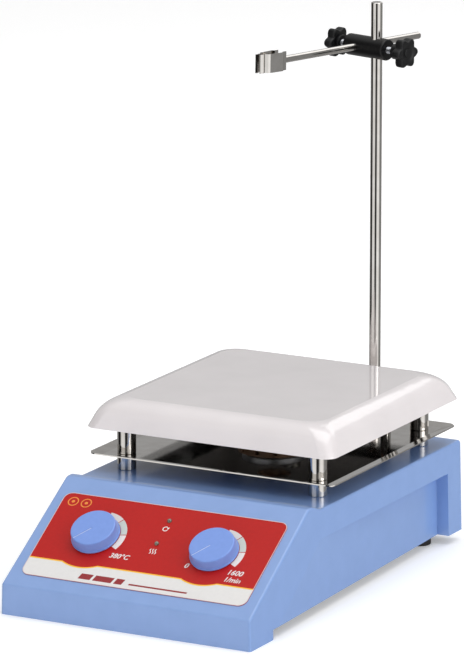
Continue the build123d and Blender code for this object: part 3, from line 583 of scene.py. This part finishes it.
AMBER_X = (-76.4, -66.4)
AMBER_DROP = 7.6                  # from the label's top edge to the rings' centres
AMBER_IN, AMBER_OUT, AMBER_DOT = 3.2, 4.0, 1.2


def amber_rings():
    """Two plain rings, each with a dot in it."""
    shapes = []
    for x in AMBER_X:
        centre = (x, LABEL_HIGH - AMBER_DROP)
        shapes += closed_band(centre, AMBER_IN, AMBER_OUT, 24) + [arc(centre, AMBER_DOT, 0, 345, 23)]
    return shapes


def control_print():
    white = ink("ink_legend", srgb(244, 238, 236))
    amber = ink("ink_amber", srgb(240, 146, 52))
    label_ground()
    label_border()
    for name, x in DIAL_X.items():
        dial_scale(name, x)
    for name, text, x, y, height in DIAL_TEXTS:
        dial_text(name, text, x, y, height, white)
    print_marks("stir_symbol", stir_symbol((0.2, LED_HIGH - 7.2)), white)
    print_marks("heat_symbol", heat_symbol((0.2, LED_LOW - 7.0)), white)
    print_marks("maker_mark", maker_mark(), ink("ink_red", srgb(150, 30, 34)), layer=1)
    print_marks("amber_rings", amber_rings(), amber)


def knob_details():
    """A paler line set in each pointer groove."""
    pale = textured("pointer_line", srgb(196, 212, 246), srgb(184, 202, 240), 0.5 * MM, (0.35, 0.5),
                    0.003 * MM)
    half_width, rim, sunk = 0.4, 1.6, 0.5
    along = Vector((cos(POINTER_TURN), sin(POINTER_TURN)))
    across = Vector((-along.y, along.x)) * half_width
    for name, x in DIAL_X.items():
        left, right = reach(f"{name}_knob", FACE_RIGHT)
        start = Vector((x, 0)) + along
        end = Vector((x, 0)) + along * ((right - left) / 2 - rim)
        outline = [tuple(point) for point in (start - across, end - across, end + across, start + across)]
        height = reach(f"{name}_knob", FACE_OUT)[1] - sunk
        mesh = prisms(f"{name}_pointer", [outline], face_place(height), 0.3 * MM)
        link_mesh(f"{name}_pointer", mesh, pale, f"{name}_dial")


# ---------- threaded pieces and grips ----------
TURN_STEPS = 24


def axis_place(origin, direction):
    """Matrix whose Z runs along a direction from an origin."""
    return Matrix.Translation(origin) @ direction.to_track_quat("Z", "Y").to_matrix().to_4x4()


def revolved(name, rings, place, steps):
    """Closed solid through rings of (height, radius function of the turn)."""
    points, faces = [], []
    for z, radius_at in rings:
        for k in range(steps):
            turn = 2 * pi * k / steps
            points.append(place @ Vector((radius_at(turn) * cos(turn), radius_at(turn) * sin(turn), z)))
    for row in range(len(rings) - 1):
        low, high = row * steps, (row + 1) * steps
        for k in range(steps):
            after = (k + 1) % steps
            faces.append([low + k, low + after, high + after, high + k])
    last = (len(rings) - 1) * steps
    faces += [list(range(steps)), list(range(last, last + steps))]
    return mesh_from(name, points, faces)


def turned(name, heights, place, radius_at, steps=TURN_STEPS):
    """Closed solid whose radius depends on the height and the turn round the axis."""
    rings = [(z, lambda turn, z=z: radius_at(z, turn)) for z in heights]
    return revolved(name, rings, place, steps)


def thread_rows(start, end, pitch):
    count = ceil((end - start) / pitch * 6)
    return [start + (end - start) * k / count for k in range(count + 1)]


def thread_radius(z, turn, crest, pitch, depth):
    """Rounded 60 degree thread."""
    phase = z / pitch - turn / (2 * pi)
    return crest - depth * abs(2 * (phase - floor(phase)) - 1)


def threaded_screw(node, joint, body):
    """A thumbscrew's shank with its thread, in place of the plain CAD cylinder."""
    origin = Vector(JOINTS[joint]["pos_m"])
    direction = Vector(JOINTS[joint]["axis"]).normalized()
    low, high = reach(node, direction, origin)
    side = direction.cross(Vector((0, 0, 1))).normalized()
    crest = reach(node, side, origin)[1] * MM
    start, end = low * MM, high * MM
    pitch, depth, lead = 0.8 * MM, 0.42 * MM, 0.5 * MM
    rows = thread_rows(start, end, pitch)

    def radius(z, turn):
        taper = max(0.0, 1 - min(z - start, end - z) / lead) * 0.5 * MM
        return thread_radius(z, turn, crest, pitch, depth) - taper

    mesh = turned(f"{node}_thread", rows, axis_place(origin, direction), radius)
    piece = link_mesh(f"{node}_thread", mesh, SLOT_FINISH["zinc_steel"], body, 50)
    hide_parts(node)


def threaded_rod():
    """The support rod, threaded where it passes through its locknut, plain above."""
    low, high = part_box("support_rod")
    nut_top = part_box("rod_locknut")[1].z
    centre = (low + high) / 2
    crest = (high.x - low.x) / 2
    thread_end = nut_top + 9 * MM
    pitch, depth, tip = 1.25 * MM, 0.6 * MM, 0.8 * MM

    def radius(z, turn):
        if z <= thread_end:
            run_out = min(1.0, (thread_end - z) / pitch)
            return thread_radius(z, turn, crest, pitch, depth * run_out)
        above = max(0.0, z - (high.z - tip)) / tip
        return crest - tip * (1 - sqrt(max(0.0, 1 - above ** 2)))

    rows = thread_rows(low.z, thread_end, pitch)
    rows += [thread_end + (high.z - tip - thread_end) * k / 12 for k in range(1, 13)]
    rows += [high.z - tip + tip * sin(radians(15 * k)) for k in range(1, 7)]
    place = Matrix.Translation((centre.x, centre.y, 0))
    mesh = turned("threaded_support_rod", rows, place, radius, 48)
    piece = link_mesh("threaded_support_rod", mesh, SLOT_FINISH["polished_stainless"], "rod",
                      35)
    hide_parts("support_rod")


GRIP_THICK, GRIP_HUB_R, GRIP_ROUND_R = 6.5 * MM, 5.5 * MM, 1.2 * MM
GRIP_WAIST = 2.8 * MM             # depth of the hollows between lobes
LOBES = 6
ROUND_STEPS = 6
GRIP_DISH = ((6.0 * MM, 0.0), (5.5 * MM, 0.4 * MM), (3.3 * MM, 0.6 * MM), (3.1 * MM, 0.2 * MM),
             (2.5 * MM, 0.0))    # radius and depth of the front face, from its rim to the pin


def grip_rings(low, high, star):
    """(height, radius function) rows of a grip: hub, rounded back rim, rounded front rim, dish, pin."""
    base = high - GRIP_THICK
    hub_edge = 0.4 * MM
    rings = [(low, lambda turn: GRIP_HUB_R - hub_edge), (low + hub_edge, lambda turn: GRIP_HUB_R),
             (base, lambda turn: GRIP_HUB_R)]
    bends = [pi / 2 * k / ROUND_STEPS for k in range(ROUND_STEPS + 1)]
    for bend in bends:
        inset = GRIP_ROUND_R * (1 - sin(bend))
        rings.append((base + GRIP_ROUND_R * (1 - cos(bend)), lambda turn, inset=inset: star(turn, inset)))
    for bend in bends:
        inset = GRIP_ROUND_R * (1 - cos(bend))
        rings.append((high - GRIP_ROUND_R * (1 - sin(bend)), lambda turn, inset=inset: star(turn, inset)))
    return rings + [(high - drop, lambda turn, radius=radius: radius) for radius, drop in GRIP_DISH]


def star_grip(node, joint, body):
    """Six-lobed grip with rounded rims and a dished face, two lobes either side of the top."""
    origin = Vector(JOINTS[joint]["pos_m"])
    direction = Vector(JOINTS[joint]["axis"]).normalized()
    low, high = (value * MM for value in reach(node, direction, origin))
    vertical = Vector((0, 0, 1))
    grip_r = max(abs(value) for value in reach(node, direction.cross(vertical).normalized(), origin)) * MM
    place = axis_place(origin, direction)
    top = place.to_3x3().transposed() @ vertical
    top_turn = atan2(top.y, top.x)

    def star(turn, inset):
        wave = (1 - cos(LOBES * (turn - top_turn))) / 2
        return grip_r - GRIP_WAIST * (1 - wave ** 0.8) - inset

    mesh = revolved(f"{node}_grip", grip_rings(low, high, star), place, 96)
    piece = link_mesh(f"{node}_grip", mesh, SLOT_FINISH["black_plastic"], body, 40)
    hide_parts(node)


# ---------- room ----------
SURROUND = 0.82                   # strength of the surround
# grey levels round the horizon: degrees from the camera's side towards its right, and the level
SURROUND_LEVELS = (
    (-180, 0.5), (-122, 0.4), (-112, 0.02), (-80, 0.02), (-72, 0.9), (-58, 1.3), (-24, 1.2), (-17, 0.04),
    (8, 0.04), (16, 0.7), (32, 1.5), (64, 1.4), (76, 0.5), (100, 0.32), (128, 0.4), (180, 0.5),
)
LIGHTS_AIM = (0, 0, 0.12)
# name, place, size, power in watts
LIGHTS = (
    ("key", (0.3, 0.1, 2.4), (2.2, 2.2), 21),
    ("side", (2.2, -0.2, 1.0), (1.2, 1.2), 9),
    ("back", (0.2, 1.8, 1.6), (1.6, 0.9), 5),
)
FLOOR_REACH = 9.0
FLOOR_GLOW = 0.22                 # keeps the paper white where the lights fall off


def ramp(tree, factor, stops):
    node = add(tree, "ShaderNodeValToRGB", {"Fac": factor})
    elements = node.color_ramp.elements
    while len(elements) < len(stops):
        elements.new(0.5)
    for element, (position, grey) in zip(elements, stops):
        element.position = position
        element.color = (grey, grey, grey, 1)
    return node.outputs["Color"]


def studio_world():
    """Soft white surround with darker gaps, so that polished steel has something to reflect."""
    world = bpy.data.worlds.new("studio")
    world.use_nodes = True
    bpy.context.scene.world = world
    tree = world.node_tree
    tree.nodes.clear()
    direction = add(tree, "ShaderNodeTexCoord").outputs["Generated"]
    inputs = {"Vector": direction, "Rotation": (0, 0, VIEW_TURN), "Scale": (1, -1, 1)}
    turned_way = add(tree, "ShaderNodeMapping", inputs).outputs["Vector"]
    axes = add(tree, "ShaderNodeSeparateXYZ", {"Vector": turned_way}).outputs
    azimuth = add(tree, "ShaderNodeMath", {0: axes["X"], 1: axes["Y"]}, operation="ARCTAN2").outputs["Value"]
    around = remap(tree, azimuth, 0, 1, (-pi, pi))
    bands = ramp(tree, around, [((turn + 180) / 360, level) for turn, level in SURROUND_LEVELS])
    overhead = remap(tree, axes["Z"], 0, 1, (0.55, 0.9))
    dome = mixed(tree, overhead, bands, (1.0, 1.0, 1.0, 1.0))
    seen = add(tree, "ShaderNodeBackground", {"Color": (1, 1, 1, 1), "Strength": 1.0}).outputs[0]
    lit = add(tree, "ShaderNodeBackground", {"Color": dome, "Strength": SURROUND}).outputs[0]
    camera_ray = add(tree, "ShaderNodeLightPath").outputs["Is Camera Ray"]
    both = add(tree, "ShaderNodeMixShader", {0: camera_ray, 1: lit, 2: seen}).outputs[0]
    add(tree, "ShaderNodeOutputWorld", {"Surface": both})


def soft_light(name, place, target, size, power):
    light = bpy.data.lights.new(name, "AREA")
    light.shape = "RECTANGLE"
    light.size, light.size_y = size
    light.energy = power
    holder = bpy.data.objects.new(name, light)
    bpy.context.scene.collection.objects.link(holder)
    holder.location = place
    holder.rotation_euler = (Vector(target) - Vector(place)).to_track_quat("-Z", "Y").to_euler()


def studio_lights():
    for name, place, size, power in LIGHTS:
        soft_light(name, place, LIGHTS_AIM, size, power)


def studio_floor():
    mesh = bpy.data.meshes.new("floor")
    shape = bmesh.new()
    bmesh.ops.create_grid(shape, x_segments=8, y_segments=8, size=FLOOR_REACH)
    shape.to_mesh(mesh)
    shape.free()
    paper = textured("floor_paper", srgb(248, 248, 248), srgb(247, 247, 247), 3 * MM, (0.8, 0.9), 0.01 * MM,
                     Emission_Color=(1, 1, 1, 1), Emission_Strength=FLOOR_GLOW)
    mesh.materials.append(paper)
    floor_piece = bpy.data.objects.new("floor", mesh)
    bpy.context.scene.collection.objects.link(floor_piece)
    floor_piece.visible_glossy = False


def studio_camera():
    back = Vector((sin(VIEW_TURN) * cos(VIEW_RISE), -cos(VIEW_TURN) * cos(VIEW_RISE), sin(VIEW_RISE)))
    camera = bpy.data.cameras.new("camera")
    camera.lens = LENS_MM
    camera.clip_end = 50
    holder = bpy.data.objects.new("camera", camera)
    bpy.context.scene.collection.objects.link(holder)
    holder.location = VIEW_TARGET + back * VIEW_DISTANCE
    holder.rotation_euler = (-back).to_track_quat("-Z", "Y").to_euler()
    bpy.context.scene.camera = holder
    bpy.context.scene.view_settings.view_transform = "Standard"


studio_camera()
studio_world()
studio_lights()
studio_floor()
paint_nodes()
control_print()
knob_details()
threaded_screw("rod_screw", "rod_thumbscrew_turn", "rod_thumbscrew")
threaded_screw("arm_screw", "arm_thumbscrew_turn", "arm_thumbscrew")
threaded_rod()
star_grip("rod_star_knob", "rod_thumbscrew_turn", "rod_thumbscrew")
star_grip("arm_star_knob", "arm_thumbscrew_turn", "arm_thumbscrew")
